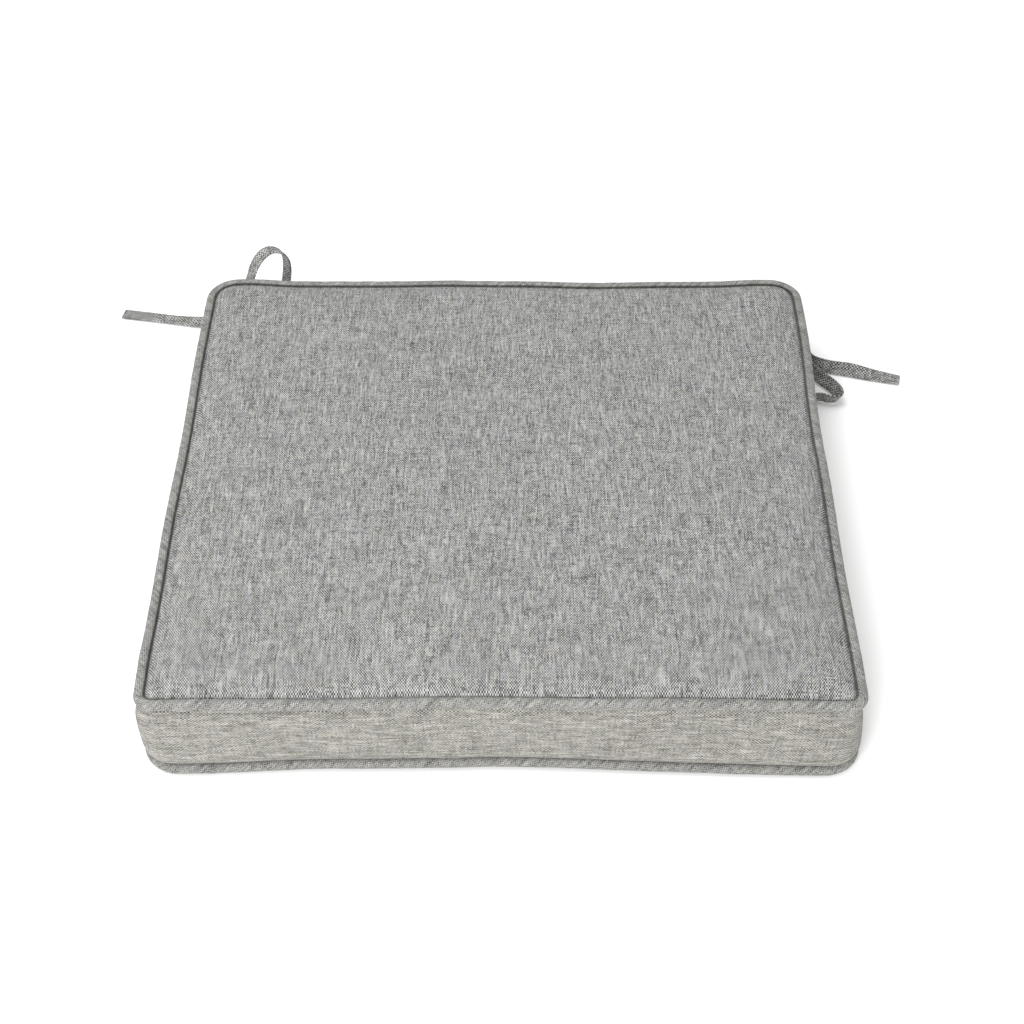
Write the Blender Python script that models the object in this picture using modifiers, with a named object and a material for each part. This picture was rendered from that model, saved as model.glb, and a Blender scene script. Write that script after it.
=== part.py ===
"""A box-edged chair seat pad: piped and zipped fabric cover, padded foam core and four ties.

The pad lies on its base with its front edge towards -Y and the zip in the back edge.
"""

import math

import bmesh
import bpy
from mathutils import Matrix, Vector

# Overall sizes of the pad, over its pipings
OVERALL_WIDTH = 0.510
OVERALL_DEPTH = 0.485
PIPED_HEIGHT = 0.072
CROWN = 0.004

# Corner radii in plan, over the pipings
TOP_FRONT_RADIUS = 0.014
TOP_BACK_RADIUS = 0.024
BOTTOM_RADIUS = 0.028
LEAST_RADIUS = 0.001
CORNER_STEPS = 6

# Cover fabric, seams and piping
GAP = 0.0003
FABRIC = 0.0008
PIPING_RADIUS = 0.004
PIPING_SIDES = 12
CORD_SIDES = 10
SEAM_ALLOWANCE = 0.0075
BOXING_INSET = 0.0056
TOP_ROLL = 0.037
BOTTOM_ROLL = 0.010

# Filling
BATTING = 0.008
FILLING_CLEARANCE = 0.0011
CORE_CLEARANCE = 0.0006
CORE_CHAMFER_DROP = 0.0070

# Zip: the chain between its stops, its tapes, coils and slider
CHAIN_LENGTH = 0.400
CHAIN_END = 0.015
SLOT_WIDTH = 0.012
COIL_DIAMETER = 0.0020
COIL_SPACING = 0.0016
COIL_SIDES = 10
TAPE_WIDTH = 0.0130
TAPE_THICKNESS = 0.0005
STOP_LENGTH = 0.0035
SLIDER_LENGTH = 0.012
SLIDER_WIDTH = 0.0098
PLATE = 0.0008
WEB = 0.0010
BRIDGE_LENGTH = 0.0064
BRIDGE_WIDTH = 0.0024
BRIDGE_WALL = 0.0010
TAB_LENGTH = 0.026
TAB_WIDTH = 0.0062
TAB_THICKNESS = 0.0011
EYE_LENGTH = 0.0036
EYE_MARGIN = 0.0005
TAB_INSET = 0.0022
TAB_END_RADIUS = 0.0020

# Ties: flat self-fabric tapes sewn into the bottom seam at the back corners
TIE_WIDTH = 0.012
TIE_THICKNESS = 0.0016
TIE_STEPS = 36

# Each tie's middle line from its root to its free end, with the way its width points there
LEFT_STRAIGHT = (
    ((-0.2372, 0.2364, 0.0092), (0.90, 0.42, 0.00)),
    ((-0.2395, 0.2414, 0.0092), (0.90, 0.42, 0.00)),
    ((-0.2425, 0.2480, 0.0074), (0.80, 0.45, 0.30)),
    ((-0.2460, 0.2560, 0.0066), (0.35, 0.35, 0.87)),
    ((-0.2520, 0.2640, 0.0066), (0.20, 0.35, 0.91)),
    ((-0.2610, 0.2695, 0.0052), (0.15, 0.65, 0.72)),
    ((-0.2736, 0.2722, 0.0026), (0.20, 0.96, 0.22)),
    ((-0.2968, 0.2770, 0.0012), (0.20, 0.98, 0.00)),
    ((-0.3199, 0.2814, 0.0012), (0.20, 0.98, 0.00)),
    ((-0.3441, 0.2858, 0.0012), (0.20, 0.98, 0.00)),
)
LEFT_LOOP = (
    ((-0.2372, 0.2366, 0.0115), (0.90, 0.42, 0.00)),
    ((-0.2385, 0.2408, 0.0135), (0.90, 0.42, -0.05)),
    ((-0.2375, 0.2500, 0.0290), (0.55, 0.80, -0.25)),
    ((-0.2300, 0.2600, 0.0450), (-0.10, 0.97, -0.20)),
    ((-0.2226, 0.2660, 0.0560), (-0.55, 0.82, -0.15)),
    ((-0.2194, 0.2700, 0.0640), (-0.64, 0.76, -0.10)),
    ((-0.2131, 0.2760, 0.0720), (-0.64, 0.77, 0.00)),
    ((-0.2055, 0.2820, 0.0745), (-0.64, 0.77, 0.00)),
    ((-0.1975, 0.2870, 0.0700), (-0.64, 0.77, 0.05)),
    ((-0.1935, 0.2905, 0.0610), (-0.64, 0.76, 0.10)),
    ((-0.1930, 0.2925, 0.0490), (-0.64, 0.76, 0.10)),
    ((-0.1950, 0.2930, 0.0340), (-0.64, 0.76, 0.08)),
    ((-0.1985, 0.2920, 0.0190), (-0.64, 0.77, 0.05)),
)
RIGHT_STRAIGHT = (
    ((0.2333, 0.2371, 0.0092), (0.94, -0.28, 0.00)),
    ((0.2347, 0.2422, 0.0092), (0.94, -0.28, 0.00)),
    ((0.2380, 0.2490, 0.0078), (0.85, -0.35, 0.40)),
    ((0.2450, 0.2535, 0.0070), (0.30, -0.30, 0.90)),
    ((0.2535, 0.2490, 0.0068), (-0.10, -0.25, 0.96)),
    ((0.2604, 0.2400, 0.0068), (-0.10, -0.05, 0.99)),
    ((0.2652, 0.2280, 0.0067), (0.00, 0.05, 1.00)),
    ((0.2680, 0.2170, 0.0066), (0.02, 0.10, 0.99)),
    ((0.2725, 0.2098, 0.0064), (0.04, 0.25, 0.97)),
    ((0.2849, 0.2045, 0.0058), (0.10, 0.40, 0.91)),
    ((0.3022, 0.2010, 0.0053), (0.16, 0.65, 0.74)),
    ((0.3196, 0.1975, 0.0030), (0.22, 0.92, 0.30)),
    ((0.3440, 0.1918, 0.0012), (0.26, 0.97, 0.00)),
)
RIGHT_LOOP = (
    ((0.2505, 0.2204, 0.0096), (-0.24, 0.97, 0.00)),
    ((0.2551, 0.2213, 0.0104), (-0.20, 0.98, 0.00)),
    ((0.2597, 0.2165, 0.0100), (0.10, 0.85, 0.45)),
    ((0.2637, 0.2075, 0.0082), (0.30, 0.40, 0.85)),
    ((0.2680, 0.1990, 0.0070), (0.45, 0.25, 0.86)),
    ((0.2765, 0.1868, 0.0069), (0.45, 0.25, 0.86)),
    ((0.2845, 0.1755, 0.0069), (0.45, 0.15, 0.88)),
    ((0.2882, 0.1660, 0.0069), (0.45, -0.10, 0.88)),
    ((0.2860, 0.1605, 0.0069), (0.40, -0.30, 0.86)),
    ((0.2795, 0.1600, 0.0069), (0.20, -0.42, 0.88)),
    ((0.2720, 0.1628, 0.0068), (0.05, -0.30, 0.95)),
    ((0.2660, 0.1600, 0.0068), (0.00, -0.10, 0.99)),
    ((0.2630, 0.1480, 0.0068), (0.00, 0.00, 1.00)),
    ((0.2620, 0.1340, 0.0066), (0.00, 0.00, 1.00)),
    ((0.2620, 0.1200, 0.0066), (0.00, 0.00, 1.00)),
)

# Heights and insets that follow from the sizes above
OVERALL_HEIGHT = PIPED_HEIGHT + CROWN
ZIP_HEIGHT = PIPED_HEIGHT / 2
HALF_PANEL = CHAIN_LENGTH / 2 + CHAIN_END
PLY_NEAR = GAP / 2
PLY_FAR = PLY_NEAR + FABRIC
COVER_NEAR = PLY_FAR + GAP
COVER_FAR = COVER_NEAR + FABRIC
SEAM_START = PIPING_RADIUS + FABRIC / 2
SEAM_END = SEAM_START + SEAM_ALLOWANCE
BOXING_BACK = BOXING_INSET + FABRIC
TAPE_INSET = BOXING_BACK + GAP
COIL_INSET = TAPE_INSET - GAP - COIL_DIAMETER / 2
PLATE_FACE = COIL_INSET - COIL_DIAMETER / 2 - GAP
COIL_OFFSET = COIL_SPACING / 2 + COIL_DIAMETER / 2
FILLING_INSET = PIPING_RADIUS + (SEAM_END + COVER_FAR) * math.sqrt(0.5) + FILLING_CLEARANCE
CORE_INSET = TAPE_INSET + TAPE_THICKNESS + GAP + PLATE + CORE_CLEARANCE
FILLING_BASE = FABRIC + GAP
CORE_BASE = FILLING_BASE + BATTING + GAP

PARTS = "chair_seat_pad"
CUTTERS = "cutters"


def clear_scene():
    for obj in list(bpy.data.objects):
        bpy.data.objects.remove(obj)
    for name in (PARTS, CUTTERS):
        bpy.context.scene.collection.children.link(bpy.data.collections.new(name))


def material(name, colour, roughness, metallic=0.0):
    made = bpy.data.materials.new(name)
    made.use_nodes = True
    shader = made.node_tree.nodes["Principled BSDF"]
    shader.inputs["Base Color"].default_value = (*colour, 1.0)
    shader.inputs["Roughness"].default_value = roughness
    shader.inputs["Metallic"].default_value = metallic
    return made


def finish(name, bm, finish_material, origin=(0.0, 0.0, 0.0), collection=PARTS):
    """Turn the mesh being built into an object whose origin is at the given point."""
    bmesh.ops.translate(bm, verts=bm.verts, vec=-Vector(origin))
    bmesh.ops.recalc_face_normals(bm, faces=bm.faces)
    mesh = bpy.data.meshes.new(name)
    bm.to_mesh(mesh)
    bm.free()
    if finish_material:
        mesh.materials.append(finish_material)
    obj = bpy.data.objects.new(name, mesh)
    obj.location = origin
    bpy.data.collections[collection].objects.link(obj)
    return obj


def smooth(obj, angle=40.0):
    obj.data.shade_smooth()
    obj.data.set_sharp_from_angle(angle=math.radians(angle))


def corner_radii(height):
    """Front and back corner radii of the pad's outline at a height."""
    low = PIPED_HEIGHT * 0.2
    high = PIPED_HEIGHT * 0.8
    share = min(max((height - low) / (high - low), 0.0), 1.0)
    front = BOTTOM_RADIUS + (TOP_FRONT_RADIUS - BOTTOM_RADIUS) * share
    back = BOTTOM_RADIUS + (TOP_BACK_RADIUS - BOTTOM_RADIUS) * share
    return front, back


def ring(inset, height):
    """Points round the pad at an inset from its outer edge, from the zip's right end to its left end."""
    front, back = corner_radii(height)
    half_width = OVERALL_WIDTH / 2 - inset
    half_depth = OVERALL_DEPTH / 2 - inset
    points = [Vector((HALF_PANEL, half_depth, height))]
    corners = ((1, 1, back, 90), (1, -1, front, 0), (-1, -1, front, -90), (-1, 1, back, 180))
    for side_x, side_y, outer, start in corners:
        radius = max(outer - inset, LEAST_RADIUS)
        middle = Vector((side_x * (half_width - radius), side_y * (half_depth - radius), height))
        for step in range(CORNER_STEPS + 1):
            angle = math.radians(start - 90.0 * step / CORNER_STEPS)
            points.append(middle + radius * Vector((math.cos(angle), math.sin(angle), 0.0)))
    points.append(Vector((-HALF_PANEL, half_depth, height)))
    return points


def join_rings(bm, first, second, around):
    count = len(first)
    for index in range(count if around else count - 1):
        following = (index + 1) % count
        bm.faces.new((first[index], first[following], second[following], second[index]))


def loft(section, around=True, tube=False):
    """Carry a section of (inset, height) points round the pad, closing it as a tube or with flat caps."""
    bm = bmesh.new()
    rings = [[bm.verts.new(point) for point in ring(inset, height)] for inset, height in section]
    for first, second in zip(rings, rings[1:]):
        join_rings(bm, first, second, around)
    if tube:
        join_rings(bm, rings[-1], rings[0], around)
    else:
        bm.faces.new(rings[0])
        bm.faces.new(rings[-1])
    if tube and not around:
        bm.faces.new([loop[0] for loop in rings])
        bm.faces.new([loop[-1] for loop in rings])
    return bm


def along_zip(section, start, end):
    """Carry a section of (inset, height) points straight along the back edge."""
    bm = bmesh.new()
    back = OVERALL_DEPTH / 2
    face = bm.faces.new([bm.verts.new((start, back - inset, height)) for inset, height in section])
    grown = bmesh.ops.extrude_face_region(bm, geom=[face])
    moved = [item for item in grown["geom"] if isinstance(item, bmesh.types.BMVert)]
    bmesh.ops.translate(bm, verts=moved, vec=(end - start, 0.0, 0.0))
    return bm


def box(bm, low, high):
    middle = (Vector(low) + Vector(high)) / 2
    size = Vector(high) - Vector(low)
    place = Matrix.Translation(middle) @ Matrix.Diagonal((*size, 1.0))
    bmesh.ops.create_cube(bm, size=1.0, matrix=place)


def back_box(bm, across, insets, heights):
    """A box at the back edge, given by its ends along X, its two insets and its two heights."""
    back = OVERALL_DEPTH / 2
    low = (across[0], back - insets[1], heights[0])
    high = (across[1], back - insets[0], heights[1])
    box(bm, low, high)


def edge_point(along, off, top):
    """A point beside the seam: along it inwards from the piping's middle, and off it towards the panel."""
    diagonal = math.sqrt(0.5)
    inset = PIPING_RADIUS + (along + off) * diagonal
    drop = PIPING_RADIUS + (along - off) * diagonal
    return inset, PIPED_HEIGHT - drop if top else drop


def top_height(inset):
    """Outer height of the top panel at an inset, rolling down from its flat middle to the seam."""
    seam_inset, seam_height = edge_point(SEAM_START, COVER_NEAR, True)
    share = min(max((inset - seam_inset) / TOP_ROLL, 0.0), 1.0)
    return seam_height + (OVERALL_HEIGHT - seam_height) * (1.0 - (1.0 - share) ** 2.2)


def bottom_height(inset):
    """Outer height of the bottom panel at an inset, rolling up from its flat middle to the seam."""
    seam_inset, seam_height = edge_point(SEAM_START, COVER_NEAR, False)
    share = min(max((inset - seam_inset) / BOTTOM_ROLL, 0.0), 1.0)
    return seam_height * (1.0 - share) ** 2


def panel_section(top, roll, height_at):
    """A panel from its flat middle out to the seam, back along its seam allowance, and in again underneath."""
    seam_inset = edge_point(SEAM_START, COVER_NEAR, top)[0]
    inward = -FABRIC if top else FABRIC
    insets = [seam_inset + roll * share for share in (1.0, 0.7, 0.42, 0.2)]
    section = [(inset, height_at(inset)) for inset in insets]
    section.append(edge_point(SEAM_START, COVER_NEAR, top))
    section.append(edge_point(SEAM_END, COVER_NEAR, top))
    section.append(edge_point(SEAM_END, COVER_FAR, top))
    section.append(edge_point(SEAM_START + 1.3 * FABRIC, COVER_FAR, top))
    section += [(inset, height_at(inset) + inward) for inset in reversed(insets)]
    return section


def make_panels(fabric):
    top = loft(panel_section(True, TOP_ROLL, top_height))
    smooth(finish("top_panel", top, fabric))
    bottom = loft(panel_section(False, BOTTOM_ROLL, bottom_height))
    smooth(finish("bottom_panel", bottom, fabric))


def piping_section(top):
    """A strip wrapped round a cord: nearly a full tube, with its two edges running in beside each other."""
    section = [edge_point(SEAM_END, PLY_NEAR, top), edge_point(SEAM_END, PLY_FAR, top)]
    outer_turn = math.asin(PLY_FAR / PIPING_RADIUS)
    inner_radius = PIPING_RADIUS - FABRIC
    inner_turn = math.asin(PLY_NEAR / inner_radius)
    for radius, turn, way in ((PIPING_RADIUS, outer_turn, 1), (inner_radius, inner_turn, -1)):
        for step in range(PIPING_SIDES + 1):
            angle = way * (turn + (2 * math.pi - 2 * turn) * step / PIPING_SIDES)
            section.append(edge_point(radius * math.cos(angle), radius * math.sin(angle), top))
        if way == 1:
            section += [edge_point(SEAM_END, -PLY_FAR, top), edge_point(SEAM_END, -PLY_NEAR, top)]
    return section


def cord_section(top):
    clear = (PIPING_RADIUS - FABRIC) * math.cos(math.pi / PIPING_SIDES) - GAP
    turns = [2 * math.pi * side / CORD_SIDES for side in range(CORD_SIDES)]
    return [edge_point(clear * math.cos(turn), clear * math.sin(turn), top) for turn in turns]


def make_pipings(fabric, cord):
    for name, top in (("top", True), ("bottom", False)):
        smooth(finish(name + "_piping_cover", loft(piping_section(top), tube=True), fabric))
        smooth(finish(name + "_piping_cord", loft(cord_section(top), tube=True), cord))


def boxing_edge(top):
    """One edge of the boxing: its seam allowance, the fold at the seam, and the fold's inner side."""
    fold_inset, fold_height = edge_point(SEAM_START, -COVER_NEAR, top)
    down = -1.0 if top else 1.0
    outer = [
        edge_point(SEAM_END, -COVER_FAR, top),
        edge_point(SEAM_END, -COVER_NEAR, top),
        (fold_inset, fold_height),
        (BOXING_INSET, fold_height + 2 * down * FABRIC),
    ]
    inner = [
        (BOXING_BACK, fold_height + 4 * down * FABRIC),
        (fold_inset + FABRIC, fold_height + 2.42 * down * FABRIC),
    ]
    return outer, inner


def make_boxing(fabric):
    top_outer, top_inner = boxing_edge(True)
    low_outer, low_inner = boxing_edge(False)
    third = PIPED_HEIGHT / 3
    outer_face = [(BOXING_INSET, 2 * third), (BOXING_INSET, third)]
    inner_face = [(BOXING_BACK, third), (BOXING_BACK, 2 * third)]
    section = top_outer + outer_face + low_outer[::-1] + low_inner[::-1] + inner_face + top_inner
    smooth(finish("boxing_band", loft(section, around=False, tube=True), fabric))
    half = HALF_PANEL - GAP
    for name, outer, inner, side in (("upper", top_outer, top_inner, 1), ("lower", low_outer, low_inner, -1)):
        edge = ZIP_HEIGHT + side * SLOT_WIDTH / 2
        section = outer + [(BOXING_INSET, edge), (BOXING_BACK, edge)] + inner
        finish("zip_boxing_" + name, along_zip(section, -half, half), fabric)


def layer(section, name, filling):
    smooth(finish(name, loft(section), filling))


def make_filling(foam, batting):
    """A foam core chamfered round the seam allowances, with a batting layer above and below."""
    core_top = OVERALL_HEIGHT - CORE_BASE
    layer_top = OVERALL_HEIGHT - FILLING_BASE
    inner = edge_point(SEAM_END, -COVER_FAR, False)
    low_shoulder = inner[1] + GAP
    high_shoulder = PIPED_HEIGHT - low_shoulder
    drop = CORE_CHAMFER_DROP
    core = [
        (FILLING_INSET, CORE_BASE),
        (FILLING_INSET, low_shoulder),
        (CORE_INSET, low_shoulder + drop),
        (CORE_INSET, high_shoulder - drop),
        (FILLING_INSET, high_shoulder),
        (FILLING_INSET, core_top),
    ]
    layer(core, "foam_core", foam)
    seam_inset = edge_point(SEAM_START, COVER_NEAR, True)[0]
    lean = 1.25 * FILLING_BASE
    top_insets = [FILLING_INSET] + [seam_inset + TOP_ROLL * share for share in (0.42, 0.7)]
    top_layer = [(FILLING_INSET, core_top + GAP)]
    top_layer += [(inset, top_height(inset) - lean) for inset in top_insets]
    top_layer.append((seam_inset + TOP_ROLL, layer_top))
    layer(top_layer, "top_batting", batting)
    low_roll = bottom_height(FILLING_INSET) + lean
    low_flat = edge_point(SEAM_START, COVER_NEAR, False)[0] + BOTTOM_ROLL
    low_layer = [
        (FILLING_INSET, CORE_BASE - GAP),
        (FILLING_INSET, low_roll),
        (low_flat, FILLING_BASE),
    ]
    layer(low_layer, "bottom_batting", batting)


def make_tapes(tape):
    half = HALF_PANEL - GAP
    near = COIL_SPACING / 2 + GAP
    for name, side in (("upper", 1), ("lower", -1)):
        heights = sorted((ZIP_HEIGHT + side * near, ZIP_HEIGHT + side * (near + TAPE_WIDTH)))
        bm = bmesh.new()
        back_box(bm, (-half, half), (TAPE_INSET, TAPE_INSET + TAPE_THICKNESS), heights)
        finish("zip_tape_" + name, bm, tape)


def make_coils(nylon):
    """Each coil is one round bar here, as long as the chain between the stops."""
    length = CHAIN_LENGTH
    for name, side in (("upper", 1), ("lower", -1)):
        bm = bmesh.new()
        place = Matrix.Translation((0.0, OVERALL_DEPTH / 2 - COIL_INSET, ZIP_HEIGHT + side * COIL_OFFSET))
        turn = Matrix.Rotation(math.radians(90.0), 4, "Y")
        bmesh.ops.create_cone(
            bm,
            cap_ends=True,
            segments=COIL_SIDES,
            radius1=COIL_DIAMETER / 2,
            radius2=COIL_DIAMETER / 2,
            depth=length,
            matrix=place @ turn,
        )
        smooth(finish("zip_coil_" + name, bm, nylon))


def bevelled(obj, width, segments=2):
    modifier = obj.modifiers.new("Bevel", "BEVEL")
    modifier.width = width
    modifier.segments = segments
    modifier.limit_method = "ANGLE"
    return obj


def make_stops(metal):
    insets = (COIL_INSET - COIL_DIAMETER / 2, COIL_INSET + COIL_DIAMETER / 2)
    near = COIL_SPACING / 2
    far = near + COIL_DIAMETER
    start = CHAIN_LENGTH / 2 + GAP
    spans = {
        "zip_top_stop_upper": ((start, start + STOP_LENGTH), (near, far)),
        "zip_top_stop_lower": ((start, start + STOP_LENGTH), (-far, -near)),
        "zip_bottom_stop": ((-start - STOP_LENGTH, -start), (-far, far)),
    }
    for name, (across, heights) in spans.items():
        bm = bmesh.new()
        back_box(bm, across, insets, (ZIP_HEIGHT + heights[0], ZIP_HEIGHT + heights[1]))
        bevelled(finish(name, bm, metal), 0.0003, 1)


def unite(obj, others):
    """Join helper solids onto an object, or cut them from it, with live Booleans."""
    for index, (other, operation) in enumerate(others):
        other.hide_render = True
        other.display_type = "WIRE"
        modifier = obj.modifiers.new("Boolean %d" % index, "BOOLEAN")
        modifier.operation = operation
        modifier.object = other


def helper_box(name, across, insets, heights):
    bm = bmesh.new()
    back_box(bm, across, insets, heights)
    return finish(name, bm, None, collection=CUTTERS)


def slider_centre():
    """The slider stands against the top stops when the zip is closed."""
    return CHAIN_LENGTH / 2 - SLIDER_LENGTH / 2 - GAP


def make_slider(metal):
    """Outer and inner plates on a web between the coils, side flanges, and a bridge that holds the tab."""
    centre = slider_centre()
    half = SLIDER_LENGTH / 2
    wide = SLIDER_WIDTH / 2
    ends = (centre - half, centre + half)
    heights = (ZIP_HEIGHT - wide, ZIP_HEIGHT + wide)
    inner_face = TAPE_INSET + TAPE_THICKNESS + GAP
    bm = bmesh.new()
    back_box(bm, ends, (PLATE_FACE - PLATE, PLATE_FACE), heights)
    origin = (centre, OVERALL_DEPTH / 2 - TAB_INSET, ZIP_HEIGHT)
    slider = finish("zip_slider", bm, metal, origin)
    lap = PLATE / 2
    joins = [helper_box("slider_inner_plate", ends, (inner_face, inner_face + PLATE), heights)]
    web_ends = (centre - half / 2, centre + half / 2)
    web_heights = (ZIP_HEIGHT - WEB / 2, ZIP_HEIGHT + WEB / 2)
    joins.append(helper_box("slider_web", web_ends, (PLATE_FACE - lap, inner_face + lap), web_heights))
    for name, side in (("upper", 1), ("lower", -1)):
        flange = sorted((ZIP_HEIGHT + side * (wide - PLATE), ZIP_HEIGHT + side * wide))
        depths = (PLATE_FACE - lap, TAPE_INSET - GAP)
        joins.append(helper_box("slider_flange_" + name, ends, depths, flange))
    bridge_half = BRIDGE_LENGTH / 2
    bridge_heights = (ZIP_HEIGHT - BRIDGE_WIDTH / 2, ZIP_HEIGHT + BRIDGE_WIDTH / 2)
    arch_top = GAP
    span = (centre - bridge_half, centre + bridge_half)
    joins.append(helper_box("slider_bridge", span, (arch_top, PLATE_FACE - lap), bridge_heights))
    unite(slider, [(join, "UNION") for join in joins])
    hole = (centre - bridge_half + BRIDGE_WALL, centre + bridge_half - BRIDGE_WALL)
    hole_heights = (ZIP_HEIGHT - BRIDGE_WIDTH, ZIP_HEIGHT + BRIDGE_WIDTH)
    hole_depths = (arch_top + BRIDGE_WALL, PLATE_FACE - PLATE)
    cutter = helper_box("slider_bridge_hole", hole, hole_depths, hole_heights)
    unite(slider, [(cutter, "DIFFERENCE")])
    return slider


def make_pull_tab(metal):
    """A flat tab whose crossbar lies under the slider's bridge; it turns about that bar, which is upright."""
    centre = slider_centre()
    bar = TAB_THICKNESS / 2
    faces = (TAB_INSET - bar, TAB_INSET + bar)
    heights = (ZIP_HEIGHT - TAB_WIDTH / 2, ZIP_HEIGHT + TAB_WIDTH / 2)
    bm = bmesh.new()
    back_box(bm, (centre + bar - TAB_LENGTH, centre + bar), faces, heights)
    ends = [edge for edge in bm.edges if all(vert.co.x < centre - TAB_LENGTH / 2 for vert in edge.verts)]
    corners = [edge for edge in ends if abs(edge.verts[0].co.y - edge.verts[1].co.y) > bar]
    bmesh.ops.bevel(bm, geom=corners, offset=TAB_END_RADIUS, segments=4, profile=0.5, affect="EDGES")
    tab = finish("zip_pull_tab", bm, metal, (centre, OVERALL_DEPTH / 2 - TAB_INSET, ZIP_HEIGHT))
    eye = (centre - bar - EYE_LENGTH, centre - bar)
    eye_half = BRIDGE_WIDTH / 2 + EYE_MARGIN
    eye_heights = (ZIP_HEIGHT - eye_half, ZIP_HEIGHT + eye_half)
    cutter = helper_box("tab_eye", eye, (faces[0] - bar, faces[1] + bar), eye_heights)
    unite(tab, [(cutter, "DIFFERENCE")])
    return tab


def make_zip(tape, nylon, metal):
    make_tapes(tape)
    make_coils(nylon)
    make_stops(metal)
    make_slider(metal)
    make_pull_tab(metal)


def smooth_route(route):
    """Evenly spaced points and width directions on one smooth curve through a tie's own points."""
    points = [Vector(point) for point, _ in route]
    widths = [Vector(width).normalized() for _, width in route]
    points = [2 * points[0] - points[1]] + points + [2 * points[-1] - points[-2]]
    fine = []
    for index in range(1, len(points) - 2):
        for step in range(8):
            fine.append((catmull(points, index, step / 8), widths[index - 1].lerp(widths[index], step / 8)))
    fine.append((points[-2], widths[-1]))
    lengths = [0.0]
    for (before, _), (after, _) in zip(fine, fine[1:]):
        lengths.append(lengths[-1] + (after - before).length)
    even = []
    for step in range(TIE_STEPS + 1):
        target = lengths[-1] * step / TIE_STEPS
        index = max(i for i in range(len(fine) - 1) if lengths[i] <= target + 1e-9)
        share = (target - lengths[index]) / (lengths[index + 1] - lengths[index])
        even.append(tuple(a.lerp(b, share) for a, b in zip(fine[index], fine[index + 1])))
    return even


def catmull(points, index, share):
    before, start, end, after = points[index - 1 : index + 3]
    square = share * share
    cube = square * share
    result = 2 * start + (end - before) * share
    result += (2 * before - 5 * start + 4 * end - after) * square
    result += (3 * start - before - 3 * end + after) * cube
    return result / 2


def make_tie(name, route, fabric):
    """A flat tape of even width swept along a route, with squared ends."""
    even = smooth_route(route)
    bm = bmesh.new()
    loops = []
    for index, (point, width) in enumerate(even):
        before = even[max(index - 1, 0)][0]
        after = even[min(index + 1, len(even) - 1)][0]
        forward = (after - before).normalized()
        across = (width - width.dot(forward) * forward).normalized()
        normal = forward.cross(across)
        half = across * TIE_WIDTH / 2
        lift = normal * TIE_THICKNESS / 2
        corners = (point + half + lift, point - half + lift, point - half - lift, point + half - lift)
        loops.append([bm.verts.new(corner) for corner in corners])
    for first, second in zip(loops, loops[1:]):
        join_rings(bm, first, second, True)
    bm.faces.new(loops[0])
    bm.faces.new(loops[-1])
    finish(name, bm, fabric)


def make_ties(fabric):
    make_tie("left_tie_straight", LEFT_STRAIGHT, fabric)
    make_tie("left_tie_loop", LEFT_LOOP, fabric)
    make_tie("right_tie_straight", RIGHT_STRAIGHT, fabric)
    make_tie("right_tie_loop", RIGHT_LOOP, fabric)


def main():
    clear_scene()
    fabric = material("heather grey woven fabric", (0.36, 0.36, 0.34), 0.9)
    cord = material("white cotton piping cord", (0.80, 0.78, 0.72), 0.85)
    foam = material("cream polyurethane foam", (0.85, 0.78, 0.55), 0.95)
    batting = material("white polyester batting", (0.88, 0.88, 0.86), 0.95)
    tape = material("grey polyester zip tape", (0.22, 0.22, 0.22), 0.85)
    nylon = material("grey nylon coil", (0.25, 0.25, 0.25), 0.45)
    metal = material("nickel-plated zinc", (0.62, 0.61, 0.59), 0.3, 1.0)
    make_panels(fabric)
    make_pipings(fabric, cord)
    make_boxing(fabric)
    make_filling(foam, batting)
    make_zip(tape, nylon, metal)
    make_ties(fabric)


main()
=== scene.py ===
import bisect
import math

import bmesh
import bpy
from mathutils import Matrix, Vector, noise


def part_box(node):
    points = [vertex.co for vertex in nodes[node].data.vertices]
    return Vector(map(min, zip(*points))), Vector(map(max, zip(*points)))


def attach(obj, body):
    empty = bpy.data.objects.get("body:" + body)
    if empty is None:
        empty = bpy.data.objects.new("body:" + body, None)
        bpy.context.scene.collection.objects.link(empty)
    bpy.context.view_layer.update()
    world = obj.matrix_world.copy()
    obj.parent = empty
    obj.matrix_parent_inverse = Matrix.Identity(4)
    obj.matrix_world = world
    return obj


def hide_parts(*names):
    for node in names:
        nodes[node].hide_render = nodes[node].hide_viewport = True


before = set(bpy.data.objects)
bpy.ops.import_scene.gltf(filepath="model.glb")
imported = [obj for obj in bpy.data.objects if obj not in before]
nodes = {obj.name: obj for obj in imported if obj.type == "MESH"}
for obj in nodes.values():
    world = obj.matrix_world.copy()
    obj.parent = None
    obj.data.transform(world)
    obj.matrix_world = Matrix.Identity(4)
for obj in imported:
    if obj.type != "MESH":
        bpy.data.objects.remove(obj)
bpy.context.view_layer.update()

scene = bpy.context.scene

# the pad's own sizes, from its top piping and its zip
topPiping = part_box("top_piping_cover")
halfWidth = 0.5 * (topPiping[1].x - topPiping[0].x)
halfDepth = 0.5 * (topPiping[1].y - topPiping[0].y)
pipedHeight = topPiping[1].z
zipHeight = 0.5 * (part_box("zip_coil_upper")[1].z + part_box("zip_coil_lower")[0].z)
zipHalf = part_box("zip_boxing_upper")[1].x


def hexColour(text):
    # an sRGB hex value as the linear colour that a shader takes
    parts = [int(text[i:i + 2], 16) / 255 for i in (0, 2, 4)]
    linear = [c / 12.92 if c <= 0.04045 else ((c + 0.055) / 1.055) ** 2.4 for c in parts]
    return (*linear, 1.0)


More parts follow.
